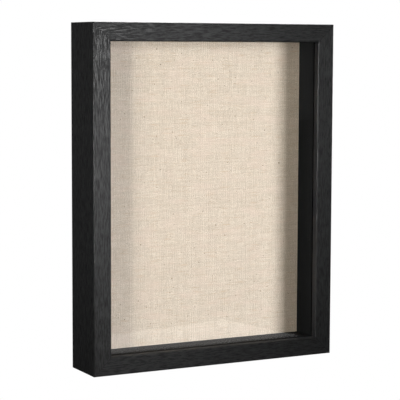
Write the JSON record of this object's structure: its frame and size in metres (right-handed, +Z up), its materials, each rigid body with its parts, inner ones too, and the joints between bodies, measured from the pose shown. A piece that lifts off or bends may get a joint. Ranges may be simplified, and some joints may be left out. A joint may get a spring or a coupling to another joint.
{
  "type": "shadow box",
  "caption": "Deep glazed wooden frame with a removable linen-covered back board, for displaying small keepsakes upright on a shelf or hung on a wall.",
  "frame": {"origin": "centre of the bottom face, on the surface it stands on", "axes": "+Z up, -Y out of the glazed front, +X to the right seen from the front"},
  "size_m": [0.236, 0.051, 0.3],
  "materials": {
    "stained_wood": "black stain on open grain, satin",
    "spacer_black": "smooth black, satin",
    "glass": "clear",
    "linen": "natural plain-woven linen with slubs",
    "board": "matte",
    "tape": "foam tape",
    "hardboard": "pressed fibre, smooth",
    "plated_steel": "zinc plated"
  },
  "bodies": {
    "box": {"top_rail": "stained_wood", "bottom_rail": "stained_wood", "left_stile": "stained_wood", "right_stile": "stained_wood", "v_nails": "plated_steel", "glass_pane": "glass", "spacer_top": "spacer_black", "spacer_bottom": "spacer_black", "spacer_left": "spacer_black", "spacer_right": "spacer_black", "turn_button_screws": "plated_steel", "hanger_top": "plated_steel", "hanger_side": "plated_steel", "hanger_nails": "plated_steel"},
    "back": {"linen_cover": "linen", "pin_board": "board", "adhesive_strips": "tape", "back_panel": "hardboard"},
    "button_bottom_left": {"turn_button_bottom_left": "plated_steel"},
    "button_bottom_right": {"turn_button_bottom_right": "plated_steel"},
    "button_left_upper": {"turn_button_left_upper": "plated_steel"},
    "button_left_lower": {"turn_button_left_lower": "plated_steel"},
    "button_top_right": {"turn_button_top_right": "plated_steel"},
    "button_top_left": {"turn_button_top_left": "plated_steel"},
    "button_right_lower": {"turn_button_right_lower": "plated_steel"},
    "button_right_upper": {"turn_button_right_upper": "plated_steel"}
  },
  "joints": [
    {"name": "back_slide", "type": "slide", "parent": "box", "child": "back", "axis": [0, 1, 0], "range_m": [0, 0.08]},
    {"name": "turn_bottom_left", "type": "hinge", "parent": "box", "child": "button_bottom_left", "pos_m": [-0.06, 0.0246, 0.0048], "axis": [0, 1, 0], "range_deg": [0, 90]},
    {"name": "turn_bottom_right", "type": "hinge", "parent": "box", "child": "button_bottom_right", "pos_m": [0.06, 0.0246, 0.0048], "axis": [0, 1, 0], "range_deg": [0, 90]},
    {"name": "turn_left_upper", "type": "hinge", "parent": "box", "child": "button_left_upper", "pos_m": [-0.1132, 0.0246, 0.23], "axis": [0, 1, 0], "range_deg": [0, 90]},
    {"name": "turn_left_lower", "type": "hinge", "parent": "box", "child": "button_left_lower", "pos_m": [-0.1132, 0.0246, 0.07], "axis": [0, 1, 0], "range_deg": [0, 90]},
    {"name": "turn_top_right", "type": "hinge", "parent": "box", "child": "button_top_right", "pos_m": [0.06, 0.0246, 0.2952], "axis": [0, 1, 0], "range_deg": [0, 90]},
    {"name": "turn_top_left", "type": "hinge", "parent": "box", "child": "button_top_left", "pos_m": [-0.06, 0.0246, 0.2952], "axis": [0, 1, 0], "range_deg": [0, 90]},
    {"name": "turn_right_lower", "type": "hinge", "parent": "box", "child": "button_right_lower", "pos_m": [0.1132, 0.0246, 0.07], "axis": [0, 1, 0], "range_deg": [0, 90]},
    {"name": "turn_right_upper", "type": "hinge", "parent": "box", "child": "button_right_upper", "pos_m": [0.1132, 0.0246, 0.23], "axis": [0, 1, 0], "range_deg": [0, 90]}
  ]
}
